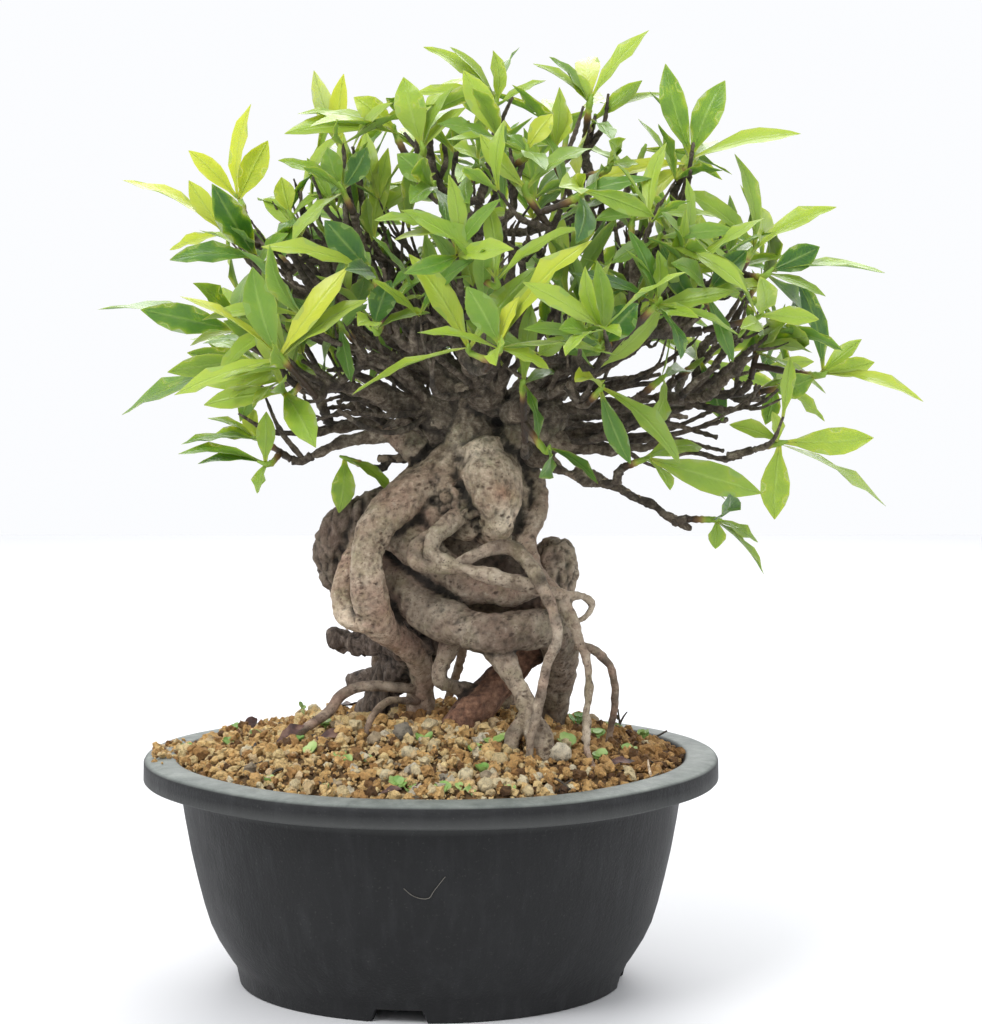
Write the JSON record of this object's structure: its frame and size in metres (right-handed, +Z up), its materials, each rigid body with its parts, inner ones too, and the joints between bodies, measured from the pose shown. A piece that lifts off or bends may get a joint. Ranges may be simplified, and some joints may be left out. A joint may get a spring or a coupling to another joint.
{
  "type": "gardenia bonsai in a pot",
  "caption": "Shohin gardenia bonsai with a gnarled exposed-root trunk and a dense crown of glossy pointed leaves, in granular soil in a round dark plastic training pot.",
  "frame": {"origin": "centre of the pot's foot, on the surface that it stands on", "axes": "+Z up; the tree's front, as displayed, looks along -Y, with +X to the viewer's right"},
  "size_m": [0.2455, 0.2051, 0.2892],
  "materials": {
    "pot": "matt, dusty, lightly scuffed",
    "soil": "rough baked-clay and pumice granules",
    "bark": "grey-beige bark with weathered dark stubs",
    "leaf": "glossy, leathery, yellow-green to deep green"
  },
  "bodies": {
    "root": {"pot": "pot", "soil": "soil", "tree": "bark", "spray_00": "leaf", "spray_01": "leaf", "spray_02": "leaf", "spray_03": "leaf", "spray_04": "leaf", "spray_05": "leaf", "spray_06": "leaf", "spray_07": "leaf", "spray_08": "leaf", "spray_09": "leaf", "spray_10": "leaf", "spray_11": "leaf", "spray_12": "leaf", "spray_13": "leaf", "spray_14": "leaf", "spray_15": "leaf", "spray_16": "leaf", "spray_17": "leaf", "spray_18": "leaf", "spray_19": "leaf", "spray_20": "leaf", "spray_21": "leaf", "spray_22": "leaf", "spray_23": "leaf", "spray_24": "leaf", "spray_25": "leaf", "spray_26": "leaf", "spray_27": "leaf", "spray_28": "leaf", "spray_29": "leaf", "spray_30": "leaf", "spray_31": "leaf", "spray_32": "leaf", "spray_33": "leaf", "spray_34": "leaf", "spray_35": "leaf", "spray_36": "leaf", "spray_37": "leaf", "spray_38": "leaf", "spray_39": "leaf", "spray_40": "leaf", "spray_41": "leaf", "spray_42": "leaf", "spray_43": "leaf", "spray_44": "leaf", "spray_45": "leaf", "spray_46": "leaf", "spray_47": "leaf", "spray_48": "leaf", "spray_49": "leaf", "spray_50": "leaf", "spray_51": "leaf", "spray_52": "leaf", "spray_53": "leaf", "spray_54": "leaf", "spray_55": "leaf", "spray_56": "leaf"}
  },
  "joints": []
}
